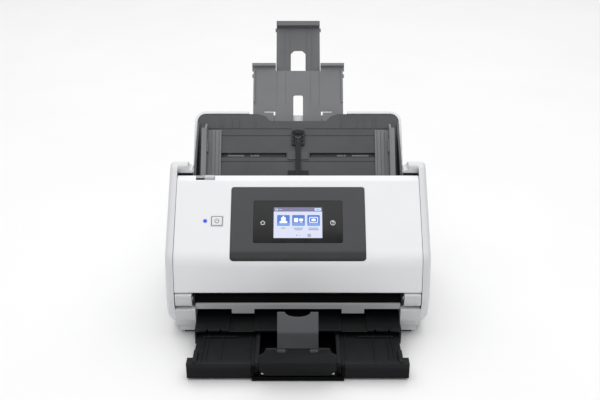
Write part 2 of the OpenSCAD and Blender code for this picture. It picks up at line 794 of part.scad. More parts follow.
module tray_end_extension() color(dark_grey) on_tray() difference() {
    union() {
        block(-27.2, 27.2, 84, end_u - 5, -extension_deep, -10.8);
        block(-27.2, 27.2, end_u - 5.8, end_u, -extension_deep, -5.4);
        both_sides() block(27.2, 28.6, end_u - 12, end_u - 8, -extension_deep, -10.8);
    }
    slot_cut(9.2, 92, 133, 4.2);
    face_grooves([10.4, 17], 110, end_u - 8, -10.8);
    block(-26, 26, end_u - 7.4, end_u - 6.4, -11.2, -10);
}

// ---------- output tray ----------

module output_tray() color(black) {
    difference() {
        block(-115.2, 115.2, -31, 40, 24.4, 27.4);
        both_sides() block(49, 77, -32, 20, 25.8, 30);
        for (x = [-101, -86, 86, 101]) block(x - 1.2, x + 1.2, -32, -28.5, 22, 30);
    }
    both_sides() block(113, 115.2, -31, 60, 9, 24.4);
    both_sides() for (x = [60, 100]) block(x - 1, x + 1, -20, 38, 21, 24.4);
}

module output_tray_front() color(black) {
    front = -tray_out;
    difference() {
        union() {
            block(-112.4, 112.4, front + 2, 8, 15.6, 18);
            both_sides() block(110, 112.4, front + 2, 20, 8.5, 18);
            both_sides() block(108, 112.4, front + 2, -60, 15.6, 22);
            both_sides() block(40, 46, front + 2, 6, 2.5, 21);
            block(-45, 45, front + 6, 6, 2.5, 4);
            both_sides() block(49.8, 118.6, front, front + 2.4, 2.5, 21);
            both_sides() block(112, 118.6, front, front + 11.6, 2.5, 21);
            both_sides() block(49.8, 112, front + 2, front + 6, 15.6, 21);
            both_sides() for (x = [104, 99, 83, 52]) block(x - 0.8, x + 0.8, front + 6, 4, 17.9, 19.4);
            both_sides() block(66, 106, -33.6, -32, 17.9, 20.6);
        }
        block(-41.8, 41.8, front - 1, 30, 4, 30);
    }
}

stop_y = -tray_out + 0.2;
stop_z = 8.6;

// Slider in the middle of the front stage, with the foot and cheeks that carry the stopper.
module stopper_base() color(black) {
    front = footprint_front;
    difference() {
        union() {
            block(-38.4, 38.4, front + 4, -6, 4.4, 6);
            block(-49.4, 49.4, front, front + 4.2, 1.2, 6);
            both_sides() block(46.4, 49.4, front + 0.6, front + 3.6, 6, 18);
            both_sides() block(39, 41.4, front + 0.6, front + 5, 4.4, 11);
        }
        rod(-60, 60, stop_y, stop_z, 1);
    }
}

tip_y = stop_y - 3;
tip_z = stopper_top - 0.6;
lug_x = [-17, 17];

module stopper_plate() color(mid_grey) {
    difference() {
        union() {
            intersection() {
                upright(stop_y - 3, stop_y + 1) polygon([
                    [-34, 7], [34, 7], [41, 14], [41, 32], [36, 35], [34, stopper_top - 1], [33, stopper_top],
                    [-33, stopper_top], [-34, stopper_top - 1], [-36, 35], [-41, 32], [-41, 14]
                ]);
                // the front face has a crease along its middle
                across(-42, 42) polygon([
                    [stop_y - 1.4, 6], [stop_y + 1, 6], [stop_y + 1, 42], [stop_y - 1.4, 42], [stop_y - 3, 23.5]
                ]);
            }
            rod(-34, 34, stop_y, stop_z, 2.2);
            // ears of the tip's hinge
            for (x = lug_x) for (e = [-1, 1]) {
                rod(x + e * 5.4 - 1, x + e * 5.4 + 1, tip_y, tip_z, 1.5);
                block(x + e * 5.4 - 1, x + e * 5.4 + 1, tip_y, stop_y, tip_z - 1.5, stopper_top);
            }
        }
        rod(-40, 40, stop_y, stop_z, 1 + fit);
        for (x = lug_x) {
            block(x - 4.3, x + 4.3, stop_y - 5, stop_y + 4, stopper_top - 5, stopper_top + 1);
            rod(x - 7, x + 7, tip_y, tip_z, 0.8);
        }
    }
}

// Tip of the stopper, leaning back from the plate's top edge, with a finger notch in its end.
module stopper_tip() color(light_grey) translate([0, tip_y, tip_z]) rotate([-26, 0, 0]) difference() {
    union() {
        across(-21.5, 21.5) polygon([[0, 2.7], [2, 2.7], [2, 40.4], [0, 40.4], [-1.4, 20.6]]);
        for (x = lug_x) {
            rod(x - 3.9, x + 3.9, 0, 0, 1.6);
            block(x - 3.9, x + 3.9, 0, 1.6, 0, 3);
        }
    }
    upright(-2, 4) polygon([for (a = [0:15:180]) [13.5 * cos(a), 40.5 - 5.4 * sin(a)]]);
    for (x = lug_x) rod(x - 6, x + 6, 0, 0, 0.8 + fit);
}

module stopper_pins() color(steel) rod(-40.8, 40.8, stop_y, stop_z, 1);

module tip_pins() color(steel) for (x = lug_x) rod(x - 6, x + 6, tip_y, tip_z, 0.8);

module case_screws() color(steel) both_sides() for (c = screw_at) {
    rod(chassis_in - 2.4, chassis_in, c[0], c[1], 2.8);
    rod(chassis_in, 130, c[0], c[1], 1.3);
}

// ---------- assembly ----------

module in_frame() translate([0, -mid_y, 0]) children();

in_frame() {
    base_frame();
    left_side_cover();
    right_side_cover();
    rear_cover();
    left_foot_block();
    right_foot_block();
    rubber_feet();
    lower_guide();
    exit_lip();
    lower_scan_unit();
    lower_scan_glass();
    drive_shaft();
    drive_tyres();
    drive_gear();
    exit_shaft();
    exit_tyres();
    timing_belt();
    pickup_shaft();
    pickup_tyres();
    pickup_gear();
    idler_gear();
    feed_motor();
    motor_pinion();
    main_board();
    power_inlet();
    usb_port();
    network_port();
    hinge_pins();
    front_cover();
    cover_hinge_arms();
    cover_guide();
    upper_scan_unit();
    upper_scan_glass();
    panel_bezel();
    touch_glass();
    display();
    panel_board();
    power_button();
    power_light();
    feed_selector();
    separation_roller();
    pinch_rollers();
    exit_pinch_rollers();
    cover_latch();
    input_tray();
    tray_shell();
    left_edge_guide();
    right_edge_guide();
    guide_pinion();
    roller_cover();
    tray_extension();
    tray_end_extension();
    output_tray();
    output_tray_front();
    stopper_base();
    stopper_plate();
    stopper_tip();
    stopper_pins();
    tip_pins();
    case_screws();
}
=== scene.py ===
"""Looks of the sheet fed document scanner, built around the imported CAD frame.

Everything is in metres in the CAD row frame: X across the paper, Y to the rear, Z up from the table.
Sizes given in millimetres are multiplied by MM where a mesh is made.
"""

import json
import math

import bmesh
import bpy
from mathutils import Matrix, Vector
from mathutils.geometry import tessellate_polygon


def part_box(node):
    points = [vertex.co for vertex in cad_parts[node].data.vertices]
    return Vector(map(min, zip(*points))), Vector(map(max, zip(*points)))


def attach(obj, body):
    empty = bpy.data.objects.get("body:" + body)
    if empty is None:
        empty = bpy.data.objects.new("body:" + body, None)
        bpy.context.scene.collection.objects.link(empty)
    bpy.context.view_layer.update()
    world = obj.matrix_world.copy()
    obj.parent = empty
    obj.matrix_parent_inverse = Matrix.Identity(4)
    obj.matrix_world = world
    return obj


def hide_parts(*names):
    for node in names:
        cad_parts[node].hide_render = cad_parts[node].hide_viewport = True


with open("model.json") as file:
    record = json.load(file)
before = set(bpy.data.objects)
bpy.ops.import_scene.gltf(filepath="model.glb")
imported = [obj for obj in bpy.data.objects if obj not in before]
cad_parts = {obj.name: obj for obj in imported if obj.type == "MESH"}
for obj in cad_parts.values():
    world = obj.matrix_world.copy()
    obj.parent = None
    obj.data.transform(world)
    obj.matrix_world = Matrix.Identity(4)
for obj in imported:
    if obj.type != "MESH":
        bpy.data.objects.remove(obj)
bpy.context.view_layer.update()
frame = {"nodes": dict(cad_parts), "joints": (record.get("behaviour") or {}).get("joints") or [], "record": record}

MM = 0.001
NODES = frame["nodes"]
JOINTS = {joint["name"]: joint for joint in frame["joints"]}
SCENE = bpy.context.scene


# ---------- places taken from the frame ----------

def middle(node):
    """Centre of a CAD node's box at rest."""
    low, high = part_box(node)
    return (low + high) / 2


class Plane:
    """A sloping working plane: x across the machine, u up the slope, z off its face, in millimetres."""

    def __init__(self, node, up, anchor):
        """anchor is where the middle of the node's box lies on the plane."""
        self.x_axis = Vector((1, 0, 0))
        self.u_axis = Vector(up).normalized()
        self.z_axis = self.x_axis.cross(self.u_axis)
        self.origin = middle(node) - self.offset(*anchor)

    def offset(self, x, u, z):
        """Step along the plane's axes, in metres."""
        return (self.x_axis * x + self.u_axis * u + self.z_axis * z) * MM

    def at(self, x, u, z):
        """Point on the plane, in the frame's metres."""
        return self.origin + self.offset(x, u, z)


# The slope's and the tray's directions come from the joints that move across and along them.
push = JOINTS["power_press"]["axis"]
slope = Plane("touch_glass", (0, -push[2], push[1]), (0, 44.6, -0.4))
tray = Plane("guide_pinion", [-value for value in JOINTS["extension_slide"]["axis"]], (0, -6.5, -5.5))
# Front bend of the case, 1 mm in front of the cover's hinge.
BEND_Y = middle("hinge_pins").y + 1 * MM


# ---------- camera and lights ----------

CAMERA_SIDE = 2.3
CAMERA_AWAY = 800.3
CAMERA_HEIGHT = 563.7
CAMERA_TILT = 64
BOX_LIGHTS = {
    "top_box": {"place": (0, 0.9, 2.6), "target": (0, 0.6, 0), "size": (4.6, 4.6), "power": 99},
    "front_box": {"place": (0, -1.7, 1.7), "target": (0, 0, 0.12), "size": (1.8, 1.0), "power": 9},
}
WORLD_STRENGTH = 0.32


def add_camera():
    """Camera at the machine's front, looking down on it."""
    data = bpy.data.cameras.new("camera")
    data.lens = 50
    data.sensor_width = 36
    camera = bpy.data.objects.new("camera", data)
    camera.location = (CAMERA_SIDE * MM, BEND_Y - CAMERA_AWAY * MM, CAMERA_HEIGHT * MM)
    camera.rotation_euler = (math.radians(CAMERA_TILT), 0, 0)
    SCENE.collection.objects.link(camera)
    SCENE.camera = camera


def add_area(name, place, target, size, power):
    """White rectangular light turned towards the target."""
    data = bpy.data.lights.new(name, "AREA")
    data.shape = "RECTANGLE"
    data.size, data.size_y = size
    data.energy = power
    light = bpy.data.objects.new(name, data)
    light.location = place
    light.rotation_euler = (Vector(target) - Vector(place)).to_track_quat("-Z", "Y").to_euler()
    SCENE.collection.objects.link(light)


def add_studio():
    """Soft boxes above and in front, and an even white surround."""
    for name, light in BOX_LIGHTS.items():
        add_area(name, **light)
    world = bpy.data.worlds.new("studio")
    world.use_nodes = True
    surround = world.node_tree.nodes["Background"].inputs
    surround["Color"].default_value = (1, 1, 1, 1)
    surround["Strength"].default_value = WORLD_STRENGTH
    SCENE.world = world
    SCENE.view_settings.view_transform = "Standard"


# ---------- materials ----------

def tone(red, green, blue):
    """Linear colour of an sRGB colour given from 0 to 255."""
    return tuple(
        (value / 255 / 12.92) if value <= 10 else ((value / 255 + 0.055) / 1.055) ** 2.4
        for value in (red, green, blue)
    )


class Finish:
    """A material in the making: node helpers around one Principled shader."""

    def __init__(self, name):
        self.material = bpy.data.materials.new(name)
        self.material.use_nodes = True
        self.tree = self.material.node_tree
        self.shader = self.tree.nodes["Principled BSDF"]
        self.place = self.add("ShaderNodeTexCoord").outputs["Object"]

    def add(self, kind, inputs=None, **settings):
        """New node with its inputs linked or set."""
        node = self.tree.nodes.new(kind)
        for key, value in settings.items():
            setattr(node, key, value)
        for key, value in (inputs or {}).items():
            self.feed(node.inputs[key], value)
        return node

    def feed(self, socket, value):
        """Links another node's output to a socket, or sets the socket itself."""
        if isinstance(value, bpy.types.NodeSocket):
            self.tree.links.new(value, socket)
        else:
            socket.default_value = value

    def set(self, **values):
        """Sets shader sockets; an underscore in a name stands for a space."""
        for key, value in values.items():
            self.feed(self.shader.inputs[key.replace("_", " ")], value)

    def noise(self, size, detail=2.0, stretch=(1, 1, 1), rough=0.5):
        """Noise whose features are about that size in millimetres, from 0 to 1."""
        place = self.add("ShaderNodeMapping", {"Vector": self.place, "Scale": stretch})
        inputs = {
            "Vector": place.outputs["Vector"],
            "Scale": 1000 / size,
            "Detail": detail,
            "Roughness": rough,
        }
        return self.add("ShaderNodeTexNoise", inputs).outputs["Fac"]

    def cells(self, size):
        """Distance to the nearest of many points that lie about that far apart in millimetres."""
        inputs = {"Vector": self.place, "Scale": 1000 / size}
        return self.add("ShaderNodeTexVoronoi", inputs).outputs["Distance"]

    def ranged(self, value, low, high, start=0.3, stop=0.7):
        """Stretches a value that runs from start to stop over low to high."""
        inputs = {"Value": value, "From Min": start, "From Max": stop, "To Min": low, "To Max": high}
        return self.add("ShaderNodeMapRange", inputs).outputs["Result"]

    def mixed(self, share, first, second):
        """Colour between first and second; either may be a colour or another node's output."""
        colours = [(*value, 1) if isinstance(value, tuple) else value for value in (first, second)]
        inputs = {0: share, 6: colours[0], 7: colours[1]}
        return self.add("ShaderNodeMix", inputs, data_type="RGBA").outputs[2]

    def bumps(self, *layers):
        """Layers of (height from 0 to 1, depth in millimetres) added on each other."""
        normal = None
        for height, depth in layers:
            inputs = {"Height": height, "Strength": 1.0, "Distance": depth * MM}
            if normal is not None:
                inputs["Normal"] = normal
            normal = self.add("ShaderNodeBump", inputs).outputs["Normal"]
        self.feed(self.shader.inputs["Normal"], normal)

    def edges(self):
        """From 0 on flat faces to 1 on outer edges, where the plastic is drawn lighter, partly as polish from
        handling and partly as painted highlight.
        """
        bend = self.add("ShaderNodeNewGeometry").outputs["Pointiness"]
        return self.ranged(bend, 0.0, 1.0, 0.52, 0.62)


def shade(colour, factor):
    """The colour made lighter or darker."""
    return tuple(min(1.0, value * factor) for value in colour)


# Half the height over which the painted shade below a set height fades into the moulding's own tone.
HALF_SHADE_BLEND = 1.5


def moulded(name, colour, rough, grain, depth, spread=0.05, edge=1.25, gloss=0.5, below=None):
    """Injection moulded plastic with a fine spark-eroded grain, cloudy tone, and lighter edges that are partly
    polish from handling and partly painted highlight.

    below is (height in millimetres, share of the tone) for painted shade: the moulding is drawn darker under that
    height.
    """
    finish = Finish(name)
    cloud = finish.noise(38, 3.0)
    speck = finish.noise(0.9, 2.0)
    base = finish.mixed(finish.ranged(cloud, 0, 1), shade(colour, 1 - spread), shade(colour, 1 + spread))
    fleck = finish.mixed(finish.ranged(speck, 0, 0.35, 0.55, 0.8), base, shade(colour, 1 + 3 * spread))
    # Painted shade: the tone is drawn darker under the given height, with a soft edge.
    if below is not None:
        level, share = below
        split = finish.add("ShaderNodeSeparateXYZ", {0: finish.place}).outputs["Z"]
        high = finish.ranged(split, 0, 1, (level - HALF_SHADE_BLEND) * MM, (level + HALF_SHADE_BLEND) * MM)
        fleck = finish.mixed(high, shade(colour, share), fleck)
    # Outer edges drawn lighter: partly polish from handling, partly painted highlight.
    edge_wear_and_highlight = finish.add("ShaderNodeMath", {0: finish.edges(), 1: 0.6}, operation="MULTIPLY").outputs[0]
    finish.set(
        Base_Color=finish.mixed(edge_wear_and_highlight, fleck, shade(colour, edge)),
        Roughness=finish.ranged(finish.noise(14, 4.0), rough - 0.05, rough + 0.05),
        Specular_IOR_Level=gloss,
    )
    finish.bumps((finish.cells(grain), depth), (finish.noise(grain * 0.45, 3.0), depth * 0.6))
    return finish.material


def metal(name, colour, rough, scratch=0.0015):
    """Turned or pressed metal with fine marks across it."""
    finish = Finish(name)
    marks = finish.noise(1.2, 5.0, (14, 1, 1), 0.6)
    base = finish.mixed(finish.ranged(finish.noise(9, 4.0), 0, 1), shade(colour, 0.9), shade(colour, 1.08))
    finish.set(
        Base_Color=base,
        Metallic=1.0,
        Roughness=finish.ranged(marks, rough - 0.08, rough + 0.1),
    )
    finish.bumps((marks, scratch))
    return finish.material


def soft_rubber(name, colour):
    """Matt rubber with fine pits."""
    finish = Finish(name)
    base = finish.mixed(finish.ranged(finish.noise(6, 5.0), 0, 1), shade(colour, 0.8), shade(colour, 1.3))
    finish.set(
        Base_Color=base,
        Roughness=finish.ranged(finish.noise(3, 4.0), 0.72, 0.88),
        Specular_IOR_Level=0.35,
    )
    finish.bumps((finish.cells(0.7), 0.02), (finish.noise(0.3), 0.01))
    return finish.material


def glass_black(name, colour):
    """Coated front glass: dark, even and glossy, with faint smears and dust."""
    finish = Finish(name)
    smear = finish.noise(22, 5.0, (1, 0.45, 0.45))
    dust = finish.ranged(finish.noise(0.8, 1.0), 0, 0.25, 0.72, 0.85)
    finish.set(
        Base_Color=finish.mixed(dust, colour, shade(colour, 2.2)),
        Roughness=finish.ranged(smear, 0.07, 0.15),
        Specular_IOR_Level=0.36,
    )
    finish.bumps((finish.noise(60, 1.0), 0.01))
    return finish.material


def glass_clear(name):
    """Scanning glass with a faint green tone."""
    finish = Finish(name)
    finish.set(
        Base_Color=finish.mixed(finish.ranged(finish.noise(30), 0, 1), (0.5, 0.62, 0.62), (0.6, 0.7, 0.7)),
        Roughness=finish.ranged(finish.noise(18, 4.0), 0.04, 0.1),
        Transmission_Weight=0.85,
        IOR=1.5,
    )
    finish.bumps((finish.noise(50, 1.0), 0.01))
    return finish.material


def circuit_board(name):
    """Green solder resist with copper tracks showing through as paler lines."""
    finish = Finish(name)
    inputs = {"Vector": finish.place, "Scale": 420.0, "Mortar Size": 0.08}
    track = finish.add("ShaderNodeTexBrick", inputs).outputs["Fac"]
    finish.set(
        Base_Color=finish.mixed(track, (0.012, 0.09, 0.035), (0.03, 0.17, 0.07)),
        Roughness=finish.ranged(finish.noise(8), 0.3, 0.42),
    )
    finish.bumps((track, 0.03), (finish.noise(0.6), 0.01))
    return finish.material


def lit(name, colour, strength, rough=0.25, fade=0.12, grain=0.5):
    """Backlit surface with the faint dot grid of a screen or the grain of a diffuser."""
    finish = Finish(name)
    dots = finish.cells(grain)
    glow = finish.ranged(dots, 0, 1, 0.1, 0.6)
    base = finish.mixed(glow, shade(colour, 1 + fade / 2), shade(colour, 1 - fade))
    finish.set(
        Base_Color=shade(colour, 0.35) + (1,),
        Emission_Color=base,
        Emission_Strength=strength,
        Roughness=finish.ranged(finish.noise(20, 3.0), rough - 0.04, rough + 0.04),
    )
    finish.bumps((dots, 0.002))
    return finish.material


def printed(name, colour, rough=0.45):
    """Pad-printed ink: nearly even, a little thin in places."""
    finish = Finish(name)
    base = finish.mixed(finish.ranged(finish.noise(1.5, 4.0), 0, 1), shade(colour, 0.88), shade(colour, 1.05))
    finish.set(Base_Color=base, Roughness=finish.ranged(finish.noise(5), rough - 0.05, rough + 0.05))
    finish.bumps((finish.noise(0.4, 3.0), 0.004))
    return finish.material


MATERIALS = {
    "white_plastic": moulded("white_plastic", tone(242, 243, 245), 0.42, 0.55, 0.006, 0.012, 1.03),
    # The panel plastic is drawn darker below 106 mm: painted shade on the bezel's lower part.
    "panel_plastic": moulded(
        "panel_plastic", tone(65, 66, 68), 0.34, 0.5, 0.006, 0.05, 1.3, gloss=0.35, below=(106, 0.2)
    ),
    "tray_plastic": moulded("tray_plastic", tone(76, 77, 79), 0.5, 0.6, 0.012, 0.06, 1.3),
    "black_plastic": moulded("black_plastic", tone(16, 17, 19), 0.42, 0.6, 0.012, 0.08, 1.8, 0.35),
    "grey_plastic": moulded("grey_plastic", tone(126, 127, 129), 0.5, 0.6, 0.010, 0.04, 1.2),
    "button_plastic": moulded("button_plastic", tone(234, 235, 238), 0.35, 0.5, 0.004, 0.015, 1.03),
    "nylon": moulded("nylon", tone(226, 222, 208), 0.4, 0.7, 0.006, 0.03, 1.05),
    "rubber": soft_rubber("rubber", tone(40, 40, 41)),
    "steel": metal("steel", (0.62, 0.63, 0.65), 0.28),
    "brass": metal("brass", (0.72, 0.55, 0.28), 0.3),
    "black_glass": glass_black("black_glass", tone(13, 14, 16)),
    "clear_glass": glass_clear("clear_glass"),
    "display": lit("display", tone(206, 208, 232), 0.9),
    "board": circuit_board("board"),
    "blue_light": lit("blue_light", tone(20, 60, 255), 1.5, 0.3, 0.2, 0.8),
}
# Darker copy of the white plastic for the side covers: painted shade, not a different moulding.
SIDE_SHADE_PLASTIC = moulded("side_painted_shade_plastic", tone(224, 225, 227), 0.42, 0.55, 0.006, 0.012, 1.03)
# Darker copy of the white plastic for the low parts at the foot: painted shade, not a different moulding.
LOW_SHADE_PLASTIC = moulded("low_painted_shade_plastic", tone(213, 214, 216), 0.42, 0.55, 0.006, 0.012, 1.03)
# Nodes whose tone is matched on its own, lighter or darker than the rest of their slot; the foot blocks and hinge
# arms take a darker copy of the white plastic as painted shade.
OWN_MATERIALS = {
    "left_foot_block": LOW_SHADE_PLASTIC,
    "right_foot_block": LOW_SHADE_PLASTIC,
    "cover_hinge_arms": LOW_SHADE_PLASTIC,
    "tray_extension": moulded("extension_plastic", tone(120, 121, 123), 0.5, 0.6, 0.012, 0.05, 1.2),
    "tray_end_extension": moulded("end_extension_plastic", tone(98, 99, 101), 0.5, 0.6, 0.012, 0.05, 1.25),
    "base_frame": moulded("frame_plastic", tone(30, 31, 32), 0.55, 0.7, 0.012, 0.05, 1.2, 0.35),
    "lower_guide": moulded("guide_plastic", tone(6, 6, 7), 0.5, 0.7, 0.012, 0.06, 1.2, 0.05),
    "cover_guide": moulded("cover_guide_plastic", tone(8, 8, 9), 0.5, 0.7, 0.012, 0.06, 1.2, 0.1),
    "exit_lip": moulded("lip_plastic", tone(182, 183, 185), 0.45, 0.6, 0.010, 0.04, 1.05),
    # The tip is drawn darker below 58 mm: painted shade.
    "stopper_tip": moulded(
        "tip_plastic", tone(84, 85, 88), 0.4, 0.5, 0.008, 0.04, 1.25, gloss=0.4, below=(58, 0.3)
    ),
    # The plate is drawn darker below 24 mm: painted shade.
    "stopper_plate": moulded(
        "plate_plastic", tone(30, 31, 33), 0.45, 0.5, 0.010, 0.06, 1.7, gloss=0.12, below=(24, 0.5)
    ),
    "stopper_base": moulded("stopper_plastic", tone(6, 6, 7), 0.45, 0.6, 0.010, 0.08, 1.8, 0.05),
    "tip_pins": metal("dark_steel", (0.10, 0.10, 0.11), 0.4),
    # The tray front is drawn darker below 16 mm: painted shade.
    "output_tray_front": moulded(
        "stage_plastic", tone(31, 32, 34), 0.42, 0.6, 0.012, 0.08, 1.8, gloss=0.1, below=(16, 0.12)
    ),
    "roller_cover": moulded("clip_plastic", tone(30, 31, 33), 0.45, 0.5, 0.010, 0.06, 1.5, 0.3),
    "feed_selector": moulded("selector_plastic", tone(196, 198, 202), 0.45, 0.5, 0.008, 0.03, 1.1),
}


# ---------- CAD nodes: materials and rounded edges ----------

WELD_GAP = 2e-6
FLAT_ANGLE = math.radians(0.6)
SHARP_ANGLE = math.radians(32)


def dress_nodes():
    """Gives every CAD node its slot, and that slot's material unless it has its own."""
    for subpart in frame["record"]["subparts"]:
        node = NODES[subpart["node"]]
        slot = subpart["material_slot"]
        node.data.materials.clear()
        node.data.materials.append(OWN_MATERIALS.get(node.name, MATERIALS[slot]))


def round_edges(node, width):
    """Rounds a node's sharp edges by that width in millimetres, with modifiers on its own mesh."""
    weld = node.modifiers.new("weld", "WELD")
    weld.merge_threshold = WELD_GAP
    flat = node.modifiers.new("flat", "DECIMATE")
    flat.decimate_type = "DISSOLVE"
    flat.angle_limit = FLAT_ANGLE
    bevel = node.modifiers.new("bevel", "BEVEL")
    bevel.width = width * MM
    bevel.segments = 2
    bevel.limit_method = "ANGLE"
    bevel.angle_limit = SHARP_ANGLE
    bevel.miter_outer = "MITER_ARC"
    normal = node.modifiers.new("normal", "WEIGHTED_NORMAL")
    normal.keep_sharp = False
    normal.weight = 90


EDGE_WIDTHS = {
    "rear_cover": 0.6, "left_foot_block": 0.8, "right_foot_block": 0.8, "exit_lip": 0.4, "front_cover": 0.3,
    "panel_bezel": 0.25, "touch_glass": 0.2, "power_button": 0.3, "feed_selector": 0.4, "cover_latch": 0.3,
    "tray_shell": 0.6, "left_edge_guide": 0.4, "right_edge_guide": 0.4, "roller_cover": 0.4,
    "output_tray": 0.4, "output_tray_front": 0.4, "stopper_base": 0.35, "stopper_plate": 0.35,
    "stopper_tip": 0.35, "rubber_feet": 0.5,
}
RIM_RADIUS = 5.5
RIM_STEPS = 7
CORNER_ANGLE = math.radians(40)


def outer_rim(work, side):
    """Edges round the outside of a side cover's flat face; the lever window's own edges are left out."""
    face_x = max(side * vert.co.x for vert in work.verts) - 1e-5
    corners = {
        edge for edge in work.edges
        if min(side * vert.co.x for vert in edge.verts) > face_x and edge.calc_face_angle(0) > CORNER_ANGLE
    }
    start = max(corners, key=lambda edge: edge.verts[0].co.z)
    rim, ends = {start}, [start]
    while ends:
        edge = ends.pop()
        for other in {link for vert in edge.verts for link in vert.link_edges} & corners - rim:
            rim.add(other)
            ends.append(other)
    return sorted(rim, key=lambda edge: edge.index)


def side_shell(node_name, side):
    """Side cover whose outer rim is rolled over into its flat face."""
    mesh = NODES[node_name].data.copy()
    work = bmesh.new()
    work.from_mesh(mesh)
    bmesh.ops.remove_doubles(work, verts=work.verts, dist=WELD_GAP)
    bmesh.ops.dissolve_limit(work, angle_limit=FLAT_ANGLE, verts=work.verts, edges=work.edges)
    work.edges.index_update()
    bmesh.ops.bevel(
        work, geom=outer_rim(work, side), offset=RIM_RADIUS * MM, segments=RIM_STEPS, profile=0.5,
        affect="EDGES", clamp_overlap=False,
    )
    bmesh.ops.triangulate(work, faces=[face for face in work.faces if len(face.verts) > 4])
    for face in work.faces:
        face.smooth = True
    work.to_mesh(mesh)
    work.free()
    mesh.materials.clear()
    # The side covers take the darker copy of the white plastic, as painted shade.
    mesh.materials.append(SIDE_SHADE_PLASTIC)
    mesh.set_sharp_from_angle(angle=SHARP_ANGLE)
    shell = bpy.data.objects.new(node_name + "_shell", mesh)
    SCENE.collection.objects.link(shell)
    normal = shell.modifiers.new("normal", "WEIGHTED_NORMAL")
    normal.keep_sharp = True
    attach(shell, "base")
    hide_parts(node_name)


# ---------- flat shapes on the sloping planes ----------

def ring(cx, cy, outer, inner, start=0, stop=360, steps=40):
    """Closed outline of an arc band; a whole ring is a band of 360 degrees."""
    angles = [math.radians(start + (stop - start) * i / steps) for i in range(steps + 1)]
    rim = [(cx + outer * math.cos(a), cy + outer * math.sin(a)) for a in angles]
    bore = [(cx + inner * math.cos(a), cy + inner * math.sin(a)) for a in reversed(angles)]
    return rim + bore


def disc(cx, cy, radius, steps=28):
    """Closed outline of a circle."""
    return [
        (cx + radius * math.cos(2 * math.pi * i / steps), cy + radius * math.sin(2 * math.pi * i / steps))
        for i in range(steps)
    ]


def rounded_box(x0, x1, y0, y1, radius, steps=5):
    """Closed outline of a rectangle with round corners."""
    corners = [(x1 - radius, y1 - radius, 0), (x0 + radius, y1 - radius, 90),
               (x0 + radius, y0 + radius, 180), (x1 - radius, y0 + radius, 270)]
    points = []
    for cx, cy, start in corners:
        for i in range(steps + 1):
            a = math.radians(start + 90 * i / steps)
            points.append((cx + radius * math.cos(a), cy + radius * math.sin(a)))
    return points


def bar(x0, y0, x1, y1, width):
    """Outline of a straight stroke of that width."""
    along = Vector((x1 - x0, y1 - y0)).normalized() * width / 2
    side = Vector((-along.y, along.x))
    a = Vector((x0, y0)) - along
    b = Vector((x1, y1)) + along
    return [tuple(a - side), tuple(b - side), tuple(b + side), tuple(a + side)]


def inlay(name, body, plane, layers):
    """One thin raised piece made of closed outlines; a layer is (outlines, low z, high z, material)."""
    mesh = bpy.data.meshes.new(name)
    work = bmesh.new()
    materials = []
    for outlines, low, high, material in layers:
        if material not in materials:
            materials.append(material)
        for outline in outlines:
            add_prism(work, plane, outline, low, high, materials.index(material))
    bmesh.ops.recalc_face_normals(work, faces=work.faces)
    work.to_mesh(mesh)
    work.free()
    for material in materials:
        mesh.materials.append(material)
    piece = bpy.data.objects.new(name, mesh)
    SCENE.collection.objects.link(piece)
    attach(piece, body)


def add_prism(work, plane, outline, low, high, index):
    """Adds one closed outline on the plane, raised from low to high, with that material index."""
    base = [work.verts.new(plane.at(x, y, low)) for x, y in outline]
    top = [work.verts.new(plane.at(x, y, high)) for x, y in outline]
    count = len(outline)
    faces = []
    for tri in tessellate_polygon([[Vector((x, y, 0)) for x, y in outline]]):
        faces.append(work.faces.new([top[i] for i in tri]))
        faces.append(work.faces.new([base[i] for i in reversed(tri)]))
    for i in range(count):
        j = (i + 1) % count
        faces.append(work.faces.new([base[i], base[j], top[j], top[i]]))
    for face in faces:
        face.material_index = index


# ---------- control panel ----------

INK = {
    "frame_line": printed("button_outline", tone(88, 90, 96)),
    "symbol": printed("panel_symbol", tone(236, 238, 242)),
    "white_mark": printed("size_mark", tone(215, 217, 220)),
    "strip": printed("slot_strip", tone(98, 99, 102)),
    "page": lit("screen_page", tone(214, 218, 240), 0.80),
    "bar": lit("screen_bar", tone(118, 116, 150), 0.80),
    "tile": lit("screen_tile", tone(72, 112, 190), 0.95),
    "tile_foot": lit("screen_tile_foot", tone(112, 152, 216), 0.95),
    "picture": lit("screen_picture", tone(236, 242, 252), 0.95),
    "caption": lit("screen_caption", tone(112, 116, 140), 0.8),
    "badge": lit("screen_badge", tone(190, 216, 250), 1.0),
}
# Outer face of the glass, and the thickness of one layer on it.
GLASS = 0.3
LAYER = 0.03
SCREEN = (-27.3, 27.3, 25.4, 61.8)
HEADER_LOW = 56.7
HEADER_MIDDLE = 59.2
TILE_X = (-16.4, 0.6, 17.6)
TILE_MIDDLE = 46.6
# Half lengths of the caption bars below each tile, row by row.
CAPTION_HALVES = ((2.6,), (5.4, 3.8), (5.0, 5.8))


def layer(number):
    """Low and high face of a thin layer on the glass."""
    return GLASS + number * LAYER, GLASS + (number + 1) * LAYER


def house(cx, cy, size):
    """Home pictogram: a roof with walls under it."""
    return [
        (cx, cy + size), (cx - size, cy + 0.1 * size), (cx - 0.7 * size, cy + 0.1 * size),
        (cx - 0.7 * size, cy - 0.8 * size), (cx + 0.7 * size, cy - 0.8 * size),
        (cx + 0.7 * size, cy + 0.1 * size), (cx + size, cy + 0.1 * size),
    ]


def outline_band(points, width):
    """Strokes of that width along a closed outline."""
    return [bar(*points[i - 1], *points[i], width) for i in range(len(points))]


